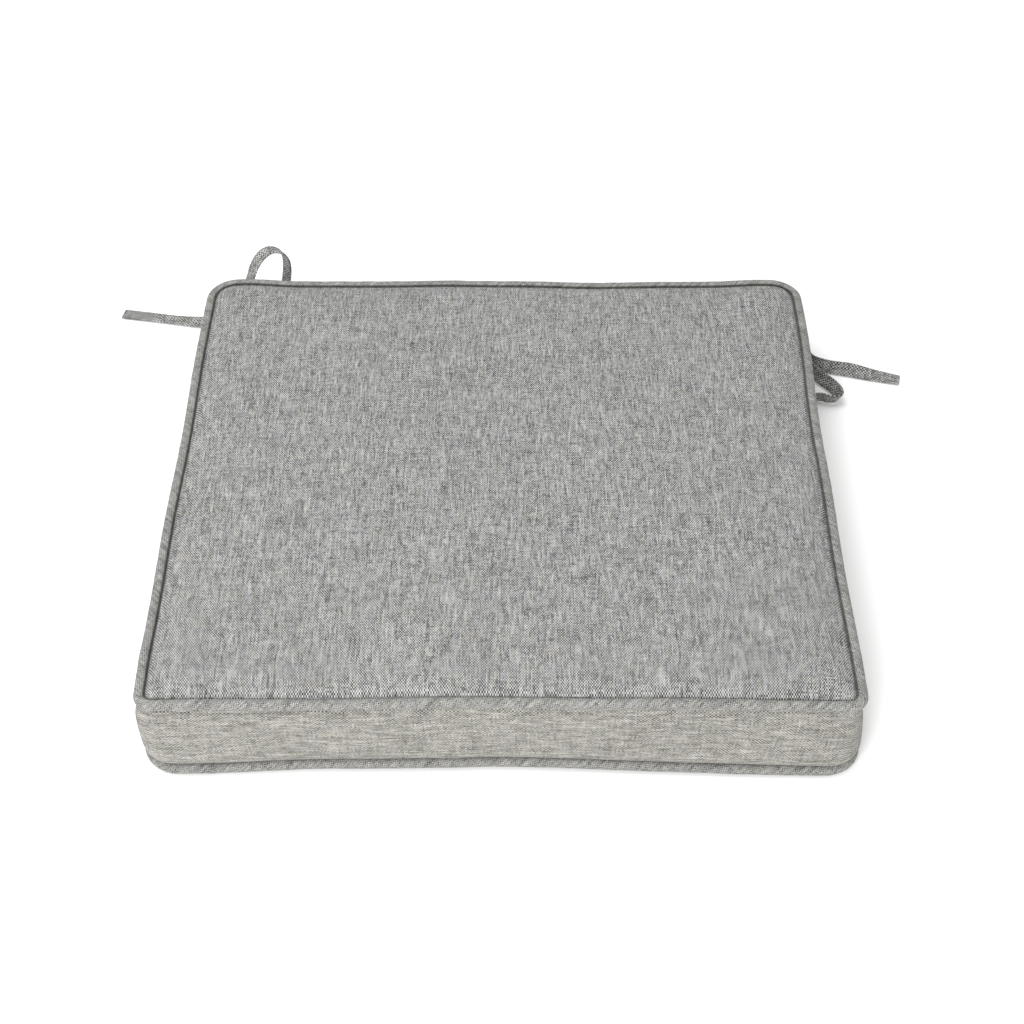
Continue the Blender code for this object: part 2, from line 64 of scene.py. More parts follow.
def addNode(tree, kind, settings=None, **links):
    # links: an input's name or number to a value or to another node's output socket
    node = tree.nodes.new(kind)
    for key, value in (settings or {}).items():
        setattr(node, key, value)
    for key, value in links.items():
        numbered = key[0] == "i" and key[1:].isdigit()
        socket = node.inputs[int(key[1:]) if numbered else key.replace("_", " ")]
        if isinstance(value, bpy.types.NodeSocket):
            tree.links.new(value, socket)
        else:
            socket.default_value = value
    return node


# camera

cameraSizes = {
    "place": (0.0072, -1.1077, 1.0764),
    "aim": (0.0072, 0.0, 0.0253),
    "lens": 68.0,
    "sensor": 36.0,
}


def makeCamera():
    data = bpy.data.cameras.new("camera")
    data.lens = cameraSizes["lens"]
    data.sensor_width = cameraSizes["sensor"]
    camera = bpy.data.objects.new("camera", data)
    camera.location = cameraSizes["place"]
    aim = Vector(cameraSizes["aim"]) - camera.location
    camera.rotation_euler = aim.to_track_quat("-Z", "Y").to_euler()
    scene.collection.objects.link(camera)
    scene.camera = camera


# ties: folded strips of the same cloth, sewn down both edges

tieSizes = {
    "stitchDip": 0.10,
    "width": 0.012,
    "thickness": 0.0016,
    "steps": 96,
    "edgeRound": 0.45,
    "stitchInset": 0.0018,
}

# middle line from the root to the free end, and the way the width points there
tieRoutes = {
    "left_tie_straight": (
        ((-0.2372, 0.2364, 0.0092), (0.90, 0.42, 0.00)),
        ((-0.2395, 0.2414, 0.0092), (0.90, 0.42, 0.00)),
        ((-0.2425, 0.2480, 0.0074), (0.80, 0.45, 0.30)),
        ((-0.2460, 0.2560, 0.0066), (0.35, 0.35, 0.87)),
        ((-0.2520, 0.2640, 0.0066), (0.20, 0.35, 0.91)),
        ((-0.2610, 0.2695, 0.0052), (0.15, 0.65, 0.72)),
        ((-0.2736, 0.2722, 0.0026), (0.20, 0.96, 0.22)),
        ((-0.2968, 0.2770, 0.0012), (0.20, 0.98, 0.00)),
        ((-0.3199, 0.2814, 0.0012), (0.20, 0.98, 0.00)),
        ((-0.3441, 0.2858, 0.0012), (0.20, 0.98, 0.00)),
    ),
    "left_tie_loop": (
        ((-0.2372, 0.2366, 0.0115), (0.90, 0.42, 0.00)),
        ((-0.2385, 0.2408, 0.0135), (0.90, 0.42, -0.05)),
        ((-0.2375, 0.2500, 0.0290), (0.55, 0.80, -0.25)),
        ((-0.2300, 0.2600, 0.0450), (-0.10, 0.97, -0.20)),
        ((-0.2226, 0.2660, 0.0560), (-0.55, 0.82, -0.15)),
        ((-0.2194, 0.2700, 0.0640), (-0.64, 0.76, -0.10)),
        ((-0.2131, 0.2760, 0.0720), (-0.64, 0.77, 0.00)),
        ((-0.2055, 0.2820, 0.0745), (-0.64, 0.77, 0.00)),
        ((-0.1975, 0.2870, 0.0700), (-0.64, 0.77, 0.05)),
        ((-0.1935, 0.2905, 0.0610), (-0.64, 0.76, 0.10)),
        ((-0.1930, 0.2925, 0.0490), (-0.64, 0.76, 0.10)),
        ((-0.1950, 0.2930, 0.0340), (-0.64, 0.76, 0.08)),
        ((-0.1985, 0.2920, 0.0190), (-0.64, 0.77, 0.05)),
    ),
    "right_tie_straight": (
        ((0.2333, 0.2371, 0.0092), (0.94, -0.28, 0.00)),
        ((0.2347, 0.2422, 0.0092), (0.94, -0.28, 0.00)),
        ((0.2380, 0.2490, 0.0078), (0.85, -0.35, 0.40)),
        ((0.2450, 0.2535, 0.0070), (0.30, -0.30, 0.90)),
        ((0.2535, 0.2490, 0.0068), (-0.10, -0.25, 0.96)),
        ((0.2604, 0.2400, 0.0068), (-0.10, -0.05, 0.99)),
        ((0.2652, 0.2280, 0.0067), (0.00, 0.05, 1.00)),
        ((0.2680, 0.2170, 0.0066), (0.02, 0.10, 0.99)),
        ((0.2725, 0.2098, 0.0064), (0.04, 0.25, 0.97)),
        ((0.2849, 0.2045, 0.0058), (0.10, 0.40, 0.91)),
        ((0.3022, 0.2010, 0.0053), (0.16, 0.65, 0.74)),
        ((0.3196, 0.1975, 0.0030), (0.22, 0.92, 0.30)),
        ((0.3440, 0.1918, 0.0012), (0.26, 0.97, 0.00)),
    ),
    "right_tie_loop": (
        ((0.2505, 0.2204, 0.0096), (-0.24, 0.97, 0.00)),
        ((0.2551, 0.2213, 0.0104), (-0.20, 0.98, 0.00)),
        ((0.2597, 0.2165, 0.0100), (0.10, 0.85, 0.45)),
        ((0.2637, 0.2075, 0.0082), (0.30, 0.40, 0.85)),
        ((0.2680, 0.1990, 0.0070), (0.45, 0.25, 0.86)),
        ((0.2765, 0.1868, 0.0069), (0.45, 0.25, 0.86)),
        ((0.2845, 0.1755, 0.0069), (0.45, 0.15, 0.88)),
        ((0.2882, 0.1660, 0.0069), (0.45, -0.10, 0.88)),
        ((0.2860, 0.1605, 0.0069), (0.40, -0.30, 0.86)),
        ((0.2795, 0.1600, 0.0069), (0.20, -0.42, 0.88)),
        ((0.2720, 0.1628, 0.0068), (0.05, -0.30, 0.95)),
        ((0.2660, 0.1600, 0.0068), (0.00, -0.10, 0.99)),
        ((0.2630, 0.1480, 0.0068), (0.00, 0.00, 1.00)),
        ((0.2620, 0.1340, 0.0066), (0.00, 0.00, 1.00)),
        ((0.2620, 0.1200, 0.0066), (0.00, 0.00, 1.00)),
    ),
}


def smoothStep(value, start, end):
    share = min(max((value - start) / (end - start), 0.0), 1.0)
    return share * share * (3 - 2 * share)


def catmull(points, index, share):
    before, start, end, after = points[index - 1:index + 3]
    square = share * share
    result = 2 * start + (end - before) * share
    result += (2 * before - 5 * start + 4 * end - after) * square
    result += (3 * start - before - 3 * end + after) * square * share
    return result / 2


def smoothRoute(route, steps):
    # even steps along one smooth curve through the route's points, each with its width direction
    points = [Vector(point) for point, _ in route]
    widths = [Vector(width).normalized() for _, width in route]
    points = [2 * points[0] - points[1]] + points + [2 * points[-1] - points[-2]]
    fine = []
    for index in range(1, len(points) - 2):
        for step in range(12):
            share = step / 12
            fine.append((catmull(points, index, share), widths[index - 1].lerp(widths[index], share)))
    fine.append((points[-2], widths[-1]))
    lengths = [0.0]
    for (before, _), (after, _) in zip(fine, fine[1:]):
        lengths.append(lengths[-1] + (after - before).length)
    even = []
    for step in range(steps + 1):
        target = lengths[-1] * step / steps
        index = min(max(bisect.bisect_right(lengths, target) - 1, 0), len(fine) - 2)
        share = (target - lengths[index]) / (lengths[index + 1] - lengths[index])
        even.append(tuple(a.lerp(b, share) for a, b in zip(fine[index], fine[index + 1])))
    return even, lengths[-1]


def sweepFrames(even):
    frames = []
    for index, (point, width) in enumerate(even):
        before = even[max(index - 1, 0)][0]
        after = even[min(index + 1, len(even) - 1)][0]
        forward = (after - before).normalized()
        across = (width - width.dot(forward) * forward).normalized()
        frames.append((point, forward, across, forward.cross(across)))
    return frames


def newObject(name, mesh, material=None):
    obj = bpy.data.objects.new(name, mesh)
    scene.collection.objects.link(obj)
    if material:
        mesh.materials.append(material)
    return obj


def meshFrom(name, bm, material=None, smooth=True):
    mesh = bpy.data.meshes.new(name)
    bm.to_mesh(mesh)
    bm.free()
    if smooth:
        mesh.shade_smooth()
    return newObject(name, mesh, material)


def clothFaces(bm, grid, places):
    # quads between the rows of points; places holds each corner's spot on the cloth, in metres, with one
    # row or column more than the points where the piece closes on itself
    layer = bm.loops.layers.uv.new("cloth")
    for row in range(len(places) - 1):
        for column in range(len(places[0]) - 1):
            corners = ((row, column), (row, column + 1), (row + 1, column + 1), (row + 1, column))
            face = bm.faces.new([grid[r % len(grid)][c % len(grid[0])] for r, c in corners])
            for loop, (r, c) in zip(face.loops, corners):
                loop[layer].uv = places[r][c]


def setOn(piece, body, node):
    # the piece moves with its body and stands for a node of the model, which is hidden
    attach(piece, body)
    if node:
        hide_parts(node)


def tieSection():
    # a flat strip with softly rounded edges, as (across, up, distance round it)
    half = tieSizes["width"] / 2
    thick = tieSizes["thickness"] / 2
    turn = thick * tieSizes["edgeRound"] * 2
    rise = thick * 0.95
    points = []
    for sideX, sideY in ((1, 1), (-1, 1), (-1, -1), (1, -1)):
        middleX = sideX * (half - turn)
        middleY = sideY * (thick - rise)
        for step in range(4):
            quarter = step / 3
            if sideX * sideY < 0:
                quarter = 1 - quarter
            angle = quarter * math.pi / 2
            x = middleX + sideX * turn * math.cos(angle)
            y = middleY + sideY * rise * math.sin(angle)
            points.append((x, y))
        if sideX * sideY > 0:
            for share in (0.8, 0.6, 0.2, -0.2, -0.6, -0.8):
                # the stitching draws the two faces together near each edge
                dip = 1 - tieSizes["stitchDip"] * math.exp(-((abs(share) - 0.7) / 0.12) ** 2)
                points.append((sideX * share * (half - turn), sideY * thick * dip))
    return points


def makeTie(name, material):
    even, length = smoothRoute(tieRoutes[name], tieSizes["steps"])
    section = tieSection()
    bm = bmesh.new()
    rings = []
    for point, _, across, normal in sweepFrames(even):
        rings.append([bm.verts.new(point + x * across + y * normal) for x, y in section])
    step = length / tieSizes["steps"]
    clothFaces(bm, rings, [[(x, row * step) for x, _ in section + section[:1]] for row in range(len(rings))])
    bm.faces.new(rings[0])
    bm.faces.new(rings[-1])
    bmesh.ops.recalc_face_normals(bm, faces=bm.faces)
    tie = meshFrom(name + "_cloth", bm, material)
    path = [tuple(point) for point, _ in even[::4]]
    return tie, path, length


# stitches: short threads set end to end along drawn lines

stitchSizes = {
    "length": 0.0024,
    "gap": 0.0007,
    "threadRadius": 0.00020,
}


def newTree(name, inputs):
    # a geometry tree with its named inputs, as (name, socket type, value)
    tree = bpy.data.node_groups.new(name, "GeometryNodeTree")
    tree.interface.new_socket("Geometry", in_out="INPUT", socket_type="NodeSocketGeometry")
    for label, kind, value in inputs:
        socket = tree.interface.new_socket(label, in_out="INPUT", socket_type=kind)
        if value is not None:
            socket.default_value = value
    tree.interface.new_socket("Geometry", in_out="OUTPUT", socket_type="NodeSocketGeometry")
    return tree, tree.nodes.new("NodeGroupInput"), tree.nodes.new("NodeGroupOutput")


def finishTree(tree, geometry, material, outside):
    real = addNode(tree, "GeometryNodeRealizeInstances", Geometry=geometry)
    painted = addNode(tree, "GeometryNodeSetMaterial", Geometry=real.outputs[0], Material=material)
    shaded = addNode(tree, "GeometryNodeSetShadeSmooth", Geometry=painted.outputs[0])
    tree.links.new(shaded.outputs[0], outside.inputs[0])


def stitchTree():
    tree, inside, outside = newTree("run of stitches", (
        ("Pitch", "NodeSocketFloat", 0.003), ("Length", "NodeSocketFloat", 0.0024),
        ("Radius", "NodeSocketFloat", 0.0002), ("Thread", "NodeSocketMaterial", None)))
    line = addNode(tree, "GeometryNodeMeshToCurve", Mesh=inside.outputs["Geometry"])
    points = addNode(tree, "GeometryNodeCurveToPoints", {"mode": "LENGTH"}, Curve=line.outputs[0],
                     Length=inside.outputs["Pitch"])
    bead = addNode(tree, "GeometryNodeMeshUVSphere", Segments=6, Rings=5, Radius=1.0)
    half = addNode(tree, "ShaderNodeMath", {"operation": "MULTIPLY"}, i0=inside.outputs["Length"], i1=0.5)
    size = addNode(tree, "ShaderNodeCombineXYZ", X=inside.outputs["Radius"], Y=inside.outputs["Radius"],
                   Z=half.outputs[0])
    placed = addNode(tree, "GeometryNodeInstanceOnPoints", Points=points.outputs["Points"],
                     Instance=bead.outputs[0], Rotation=points.outputs["Rotation"], Scale=size.outputs[0])
    finishTree(tree, placed.outputs[0], inside.outputs["Thread"], outside)
    return tree


def applyTree(name, source, tree, values):
    # runs the tree on the source mesh and keeps the plain mesh that it makes
    holder = bpy.data.objects.new(name + "_lines", source)
    scene.collection.objects.link(holder)
    modifier = holder.modifiers.new("GeometryNodes", "NODES")
    modifier.node_group = tree
    for item in tree.interface.items_tree:
        if item.item_type == "SOCKET" and item.in_out == "INPUT" and item.name in values:
            modifier[item.identifier] = values[item.name]
    graph = bpy.context.evaluated_depsgraph_get()
    mesh = bpy.data.meshes.new_from_object(holder.evaluated_get(graph), depsgraph=graph)
    holder.modifiers.remove(modifier)
    bpy.data.objects.remove(holder)
    mesh.name = name
    return newObject(name, mesh)


def lineMesh(name, paths):
    verts = [tuple(point) for path in paths for point in path]
    edges = []
    start = 0
    for path in paths:
        edges += [(start + i, start + i + 1) for i in range(len(path) - 1)]
        start += len(path)
    mesh = bpy.data.meshes.new(name)
    mesh.from_pydata(verts, edges, [])
    return mesh


def makeStitches(name, paths, tree, material):
    return applyTree(name, lineMesh(name + "_line", paths), tree, {
        "Pitch": stitchSizes["length"] + stitchSizes["gap"], "Length": stitchSizes["length"],
        "Radius": stitchSizes["threadRadius"], "Thread": material})


def tieStitchLines(name):
    # down each long edge, on both faces
    even, _ = smoothRoute(tieRoutes[name], tieSizes["steps"])
    half = tieSizes["width"] / 2 - tieSizes["stitchInset"]
    lift = tieSizes["thickness"] / 2 * 0.92
    frames = sweepFrames(even)[3:-2]
    return [[point + side * half * across + face * lift * normal for point, _, across, normal in frames]
            for side in (-1, 1) for face in (-1, 1)]


# cloth: a plain weave of heather yarns, drawn on the piece's own map, which is in metres

weaveSizes = {
    "warpPitch": 0.92,     # mm between threads
    "weftPitch": 1.28,
    "slubLength": 19.0,    # mm that a thick or dark stretch of yarn runs
    "wander": 1.6,         # mm that a thread strays from its line
    "thinning": 4.6,       # how much more dark weft shows under a thin stretch
    "darkShare": 0.62,
    "brightShare": 0.9,
}


def weaveGroup():
    # tone and height of the cloth at a place given in metres, warp running along Y
    tree = bpy.data.node_groups.new("heather plain weave", "ShaderNodeTree")
    face = tree.interface
    face.new_socket("Place", in_out="INPUT", socket_type="NodeSocketVector")
    for name in ("Warp pitch", "Weft pitch", "Slub length", "Dots", "Slubs", "Weft slubs"):
        face.new_socket(name, in_out="INPUT", socket_type="NodeSocketFloat")
    for name in ("Tone", "Height", "Tint"):
        face.new_socket(name, in_out="OUTPUT", socket_type="NodeSocketFloat")
    inside = tree.nodes.new("NodeGroupInput")
    outside = tree.nodes.new("NodeGroupOutput")

    def calc(operation, a, b=0.0):
        return addNode(tree, "ShaderNodeMath", {"operation": operation}, i0=a, i1=b).outputs[0]

    def noiseAt(x, y, scale, detail=1.0, roughness=0.5):
        place = addNode(tree, "ShaderNodeCombineXYZ", X=x, Y=y).outputs[0]
        made = addNode(tree, "ShaderNodeTexNoise", {"noise_dimensions": "2D"}, Vector=place, Scale=scale,
                       Detail=detail, Roughness=roughness)
        return calc("SUBTRACT", made.outputs[0], 0.5)

    split = addNode(tree, "ShaderNodeSeparateXYZ", Vector=inside.outputs["Place"])
    x, y = split.outputs[0], split.outputs[1]
    # the threads wander a little, as in real cloth
    wanderX = calc("MULTIPLY", noiseAt(x, y, 28.0), weaveSizes["wander"] / 1000)
    wanderY = calc("MULTIPLY", noiseAt(y, x, 22.0), weaveSizes["wander"] / 1000)
    across = calc("DIVIDE", calc("ADD", x, wanderX), inside.outputs["Warp pitch"])
    along = calc("DIVIDE", calc("ADD", y, wanderY), inside.outputs["Weft pitch"])
    warpNumber = calc("FLOOR", across)
    weftNumber = calc("FLOOR", along)

    # over one and under one: light warp crowns alternate with dark weft dots
    waveX = calc("SINE", calc("MULTIPLY", across, math.pi))
    waveY = calc("SINE", calc("MULTIPLY", along, math.pi))
    checker = calc("MULTIPLY", waveX, waveY)

    # each yarn has thick and thin, light and dark stretches along it
    slubY = calc("DIVIDE", y, inside.outputs["Slub length"])
    slubX = calc("DIVIDE", x, inside.outputs["Slub length"])
    warpSlub = noiseAt(calc("MULTIPLY", warpNumber, 2.7), slubY, 1.0, 2.0, 0.6)
    weftSlub = noiseAt(calc("MULTIPLY", weftNumber, 2.9), slubX, 1.3, 2.0, 0.6)
    thinWarp = noiseAt(calc("ADD", calc("MULTIPLY", warpNumber, 3.3), 71.0), slubY, 1.25, 2.0, 0.65)
    spot = addNode(tree, "ShaderNodeCombineXYZ", X=warpNumber, Y=weftNumber).outputs[0]
    uneven = addNode(tree, "ShaderNodeTexWhiteNoise", {"noise_dimensions": "2D"}, Vector=spot).outputs[0]
    # the dark weft shows most where the warp over it runs thin
    dark = calc("ADD", calc("MULTIPLY", thinWarp, weaveSizes["thinning"]), weaveSizes["darkShare"])
    dark = calc("MAXIMUM", dark, 0.12)
    dark = calc("MULTIPLY", dark, calc("ADD", calc("MULTIPLY", uneven, 1.3), 0.30))
    dark = calc("MULTIPLY", dark, calc("MINIMUM", checker, 0.0))
    bright = calc("MULTIPLY", uneven, weaveSizes["brightShare"])
    bright = calc("MULTIPLY", calc("MAXIMUM", checker, 0.0), bright)
    dots = calc("MULTIPLY", calc("ADD", dark, bright), inside.outputs["Dots"])
    slubs = calc("ADD", calc("MULTIPLY", warpSlub, inside.outputs["Slubs"]),
                 calc("MULTIPLY", weftSlub, inside.outputs["Weft slubs"]))
    tone = calc("ADD", calc("ADD", dots, slubs), 0.5)
    tree.links.new(tone, outside.inputs["Tone"])
    tree.links.new(calc("ABSOLUTE", checker), outside.inputs["Height"])
    tint = noiseAt(calc("MULTIPLY", warpNumber, 0.31), slubY, 1.4, 2.0)
    tree.links.new(calc("ADD", tint, 0.5), outside.inputs["Tint"])
    return tree


def clothMaterial(name, group, dark, middle, light, cool, warm, dots, slubs, weftSlubs, turn=0.0,
                  coarser=(1.0, 1.0)):
    # solution-dyed polyester: matt, slightly fuzzy, its two yarns told apart only close up
    made = bpy.data.materials.new(name)
    made.use_nodes = True
    tree = made.node_tree
    shader = tree.nodes["Principled BSDF"]
    shader.inputs["Roughness"].default_value = 0.9
    shader.inputs["Specular IOR Level"].default_value = 0.2
    shader.inputs["Sheen Weight"].default_value = 0.08
    shader.inputs["Sheen Roughness"].default_value = 0.5
    place = addNode(tree, "ShaderNodeUVMap", {"uv_map": "cloth"})
    turned = addNode(tree, "ShaderNodeMapping", Vector=place.outputs[0], Rotation=(0.0, 0.0, turn))
    weave = addNode(tree, "ShaderNodeGroup", {"node_tree": group}, Place=turned.outputs[0])
    for label, value in (("Warp pitch", weaveSizes["warpPitch"] * coarser[0] / 1000),
                         ("Weft pitch", weaveSizes["weftPitch"] * coarser[1] / 1000),
                         ("Slub length", weaveSizes["slubLength"] / 1000),
                         ("Dots", dots), ("Slubs", slubs), ("Weft slubs", weftSlubs)):
        weave.inputs[label].default_value = value
    ramp = addNode(tree, "ShaderNodeValToRGB", Fac=weave.outputs["Tone"])
    stops = ramp.color_ramp.elements
    stops[0].position = 0.0
    stops[0].color = hexColour(dark)
    stops[1].position = 1.0
    stops[1].color = hexColour(light)
    stops.new(0.5).color = hexColour(middle)
    tint = addNode(tree, "ShaderNodeValToRGB", Fac=weave.outputs["Tint"])
    tint.color_ramp.elements[0].position = 0.38
    tint.color_ramp.elements[0].color = hexColour(cool)
    tint.color_ramp.elements[1].position = 0.62
    tint.color_ramp.elements[1].color = hexColour(warm)
    tinted = addNode(tree, "ShaderNodeMix", {"data_type": "RGBA", "blend_type": "MULTIPLY"}, i0=1.0,
                     i6=ramp.outputs[0], i7=tint.outputs[0])
    # painted shade: the cloth is darkened deep in the seams, where shadow falls
    paintedSeamShade = addNode(tree, "ShaderNodeAttribute", {"attribute_name": "paintedSeamShade"})
    shaded = addNode(tree, "ShaderNodeMix", {"data_type": "RGBA", "blend_type": "MULTIPLY"},
                     i0=paintedSeamShade.outputs["Fac"], i6=tinted.outputs[2], i7=hexColour("6b6966"))
    tree.links.new(shaded.outputs[2], shader.inputs["Base Color"])
    bump = addNode(tree, "ShaderNodeBump", Height=weave.outputs["Height"], Strength=0.35, Distance=0.0002)
    tree.links.new(bump.outputs[0], shader.inputs["Normal"])
    return made


def plainMaterial(name, colour, roughness, metallic=0.0, grain=0.0, grainScale=800.0, relief=0.0001):
    # a finish with a fine grain in its tone and its surface
    made = bpy.data.materials.new(name)
    made.use_nodes = True
    tree = made.node_tree
    shader = tree.nodes["Principled BSDF"]
    shader.inputs["Roughness"].default_value = roughness
    shader.inputs["Metallic"].default_value = metallic
    place = addNode(tree, "ShaderNodeTexCoord")
    cloud = addNode(tree, "ShaderNodeTexNoise", Vector=place.outputs["Object"], Scale=grainScale, Detail=3.0)
    ramp = addNode(tree, "ShaderNodeValToRGB", Fac=cloud.outputs[0])
    base = hexColour(colour)
    ramp.color_ramp.elements[0].position = 0.3
    ramp.color_ramp.elements[0].color = (*[c * (1 - grain) for c in base[:3]], 1.0)
    ramp.color_ramp.elements[1].position = 0.7
    ramp.color_ramp.elements[1].color = (*[min(c * (1 + grain), 1.0) for c in base[:3]], 1.0)
    tree.links.new(ramp.outputs[0], shader.inputs["Base Color"])
    bump = addNode(tree, "ShaderNodeBump", Height=cloud.outputs[0], Strength=0.4, Distance=relief)
    tree.links.new(bump.outputs[0], shader.inputs["Normal"])
    return made


# the pad's outline, at any inset and height, with the small wander of hand-guided sewing

outlineSizes = {
    "topFront": 0.014,
    "topBack": 0.024,
    "low": 0.027,
    "leftPull": 0.0008,
    "rightPull": 0.0002,
    "frontPull": 0.0030,
    "leftCornerIn": 0.0025,
    "rightIn": 0.0030,
    "lowFrontLift": 0.0020,
    "lowFrontPull": 0.0025,
    "lowRightOut": 0.0035,
    "wander": 0.0007,
    "lowWaves": ((-0.78, 0.22, 0.0036), (0.76, 0.22, 0.0028)),
    "backWaves": ((-0.86, 0.10, 0.0040), (0.86, 0.10, 0.0036),
                  (-0.20, 0.14, 0.0028), (0.27, 0.16, -0.0024)),
}


def cornerRadii(height):
    share = min(max((height / pipedHeight - 0.1) / 0.6, 0.0), 1.0) ** 0.7
    front = outlineSizes["low"] + (outlineSizes["topFront"] - outlineSizes["low"]) * share
    back = outlineSizes["low"] + (outlineSizes["topBack"] - outlineSizes["low"]) * share
    return front, back


def sway(point):
    # moves a point of the flat outline to where the sewn one lies
    across = point.x / halfWidth
    along = point.y / halfDepth
    share = point.z / pipedHeight
    bowX = 1 - min(across * across, 1.0)
    bowY = 1 - min(along * along, 1.0)
    edgeX = max(abs(across) - 0.8, 0.0) / 0.2
    frontness = max(-along - 0.8, 0.0) / 0.2
    backness = max(along - 0.8, 0.0) / 0.2
    moved = point.copy()
    pull = outlineSizes["rightPull" if across > 0 else "leftPull"]
    moved.x -= math.copysign(pull * bowY * edgeX, across)
    if across < 0:
        moved.x += outlineSizes["leftCornerIn"] * edgeX * frontness * share * share
    else:
        forward = min(max((0.6 - along) / 0.45, 0.0), 1.0)
        moved.x -= outlineSizes["rightIn"] * edgeX * forward * min(1.5 * share, 1.0)
    rightward = min(max(across / 0.6, 0.0), 1.0)
    moved.y -= outlineSizes["lowRightOut"] * rightward * frontness * (1 - share)
    frontPull = outlineSizes["lowFrontPull"] * (1 - share) + outlineSizes["frontPull"] * share
    moved.y += frontPull * bowX * frontness
    moved.z += outlineSizes["lowFrontLift"] * bowX * frontness * (1 - share)
    wave = outlineSizes["wander"]
    moved.y += wave * (frontness * math.sin(across * 9.0 + 1.0 + 2 * share)
                       + 0.5 * backness * math.sin(across * 12.0 + 0.5))
    moved.x += wave * 0.8 * edgeX * math.sin(along * 8.0 + (2.0 if across > 0 else 0.3))
    for middle, width, out in outlineSizes["lowWaves"]:
        moved.y -= out * frontness * (1 - share) * math.exp(-((across - middle) / width) ** 2)
    for middle, width, out in outlineSizes["backWaves"]:
        upper = max(share - 0.6, 0.0) / 0.4
        moved.y += out * backness * upper * math.exp(-((across - middle) / width) ** 2)
    moved.z += wave * 0.6 * share * math.sin(across * 7.0 + 3.0 * along + 4 * share)
    return moved


def outlineRing(inset, height, spacing=0.006, swayed=True):
    # points right round at nearly even spacing, from the middle of the back and by the right side
    front, back = cornerRadii(height)
    wide = halfWidth - inset
    deep = halfDepth - inset
    points = []

    def straight(start, end, count):
        for step in range(count):
            points.append(start.lerp(end, step / count))

    def corner(sideX, sideY, outer, startAngle, count):
        radius = max(outer - inset, 0.0005)
        middle = Vector((sideX * (wide - radius), sideY * (deep - radius), height))
        for step in range(count):
            angle = math.radians(startAngle - 90 * step / count)
            points.append(middle + radius * Vector((math.cos(angle), math.sin(angle), 0)))

    acrossCount = 2 * round(halfWidth * 2 / spacing / 2)
    alongCount = round(halfDepth * 2 / spacing)
    cornerCount = 10
    backR = max(back - inset, 0.0005)
    frontR = max(front - inset, 0.0005)
    straight(Vector((0, deep, height)), Vector((wide - backR, deep, height)), acrossCount // 2)
    corner(1, 1, back, 90, cornerCount)
    straight(Vector((wide, deep - backR, height)), Vector((wide, -deep + frontR, height)), alongCount)
    corner(1, -1, front, 0, cornerCount)
    straight(Vector((wide - frontR, -deep, height)), Vector((-wide + frontR, -deep, height)), acrossCount)
    corner(-1, -1, front, -90, cornerCount)
    straight(Vector((-wide, -deep + frontR, height)), Vector((-wide, deep - backR, height)), alongCount)
    corner(-1, 1, back, 180, cornerCount)
    straight(Vector((-wide + backR, deep, height)), Vector((0, deep, height)), acrossCount // 2)
    return [sway(point) for point in points] if swayed else points


def runLengths(points):
    total = [0.0]
    for before, after in zip(points, points[1:] + points[:1]):
        total.append(total[-1] + (after - before).length)
    return total


# piping: a bias-cut strip of the cloth sewn round a cord

pipingSizes = {
    "radius": 0.0040,
    "cordRadius": 0.0028,
    "sides": 20,
    "cordSides": 12,
    "spacing": 0.0030,
    "unevenness": 0.00022,
    # the seam line round the piping, where the painted seam shade lies, and how narrow that shade is
    "seamTurn": 148,         # degrees round the piping from its outer side
    "seamCosine": 0.93,
}


def addPaintedSeamShade(obj, values):
    # painted seam shade: how deep in a seam each point lies, from 0 to 1, which darkens the cloth there
    layer = obj.data.attributes.new("paintedSeamShade", "FLOAT", "POINT")
    layer.data.foreach_set("value", values)


def makePiping(name, height, thickness, unevenness, sides, material):
    centre = outlineRing(pipingSizes["radius"], height, pipingSizes["spacing"])
    count = len(centre)
    lengths = runLengths(centre)
    bm = bmesh.new()
    rings = []
    for index, point in enumerate(centre):
        forward = (centre[(index + 1) % count] - centre[index - 1]).normalized()
        outward = forward.cross(Vector((0, 0, -1))).normalized()
        upward = outward.cross(forward)
        rough = noise.noise(point * 90.0 + Vector((height * 200, 0, 0)))
        size = thickness + unevenness * rough
        ring = []
        for side in range(sides):
            turn = 2 * math.pi * side / sides
            ring.append(bm.verts.new(point + size * (math.cos(turn) * outward + math.sin(turn) * upward)))
        rings.append(ring)
    girth = 2 * math.pi * thickness
    clothFaces(bm, rings, [[(along, girth * side / sides) for side in range(sides + 1)] for along in lengths])
    bmesh.ops.recalc_face_normals(bm, faces=bm.faces)
    piping = meshFrom(name, bm, material)
    if unevenness:
        # painted shade along the line where the panel is sewn on
        seamTurn = math.radians(math.copysign(pipingSizes["seamTurn"], pipedHeight / 2 - height))
        around = [math.cos(2 * math.pi * side / sides - seamTurn) for side in range(sides)]
        narrow = pipingSizes["seamCosine"]
        addPaintedSeamShade(piping, [max(cosine - narrow, 0.0) / (1 - narrow) for cosine in around] * count)
    return piping


# top and bottom panels: one sheet each, from its seam under the piping to a filled, gently crowned middle

panelSizes = {
    "cell": 0.006,
    "thickness": 0.0008,
    "edgeCells": (0.0, 0.0006, 0.0013, 0.0024, 0.0042, 0.0070),
    "seamInset": 0.0074,
    "seamDrop": 0.0062,
    "edgeRoll": 0.030,
    "lowEdgeRoll": 0.024,
    "edgeRise": 0.0090,
    "edgeSteepness": 0.38,
    "crown": 0.0016,
    "paintedShadeWidth": 0.0006,
    "pressure": 3.0,
    "cap": 0.0016,
}


def panelPoint(a, b, wide, deep, radius):
    # a and b run from -1 to 1 over the sheet; its corners are pulled in to the seam's rounding
    x, y = a * wide, b * deep
    overX = abs(x) - (wide - radius)
    overY = abs(y) - (deep - radius)
    if overX > 0 and overY > 0:
        reach = math.hypot(overX, overY)
        squeeze = max(overX, overY) / reach
        x = math.copysign(wide - radius + overX * squeeze, a)
        y = math.copysign(deep - radius + overY * squeeze, b)
        inset = radius - max(overX, overY)
    else:
        inset = min(wide - abs(x), deep - abs(y))
    return x, y, inset


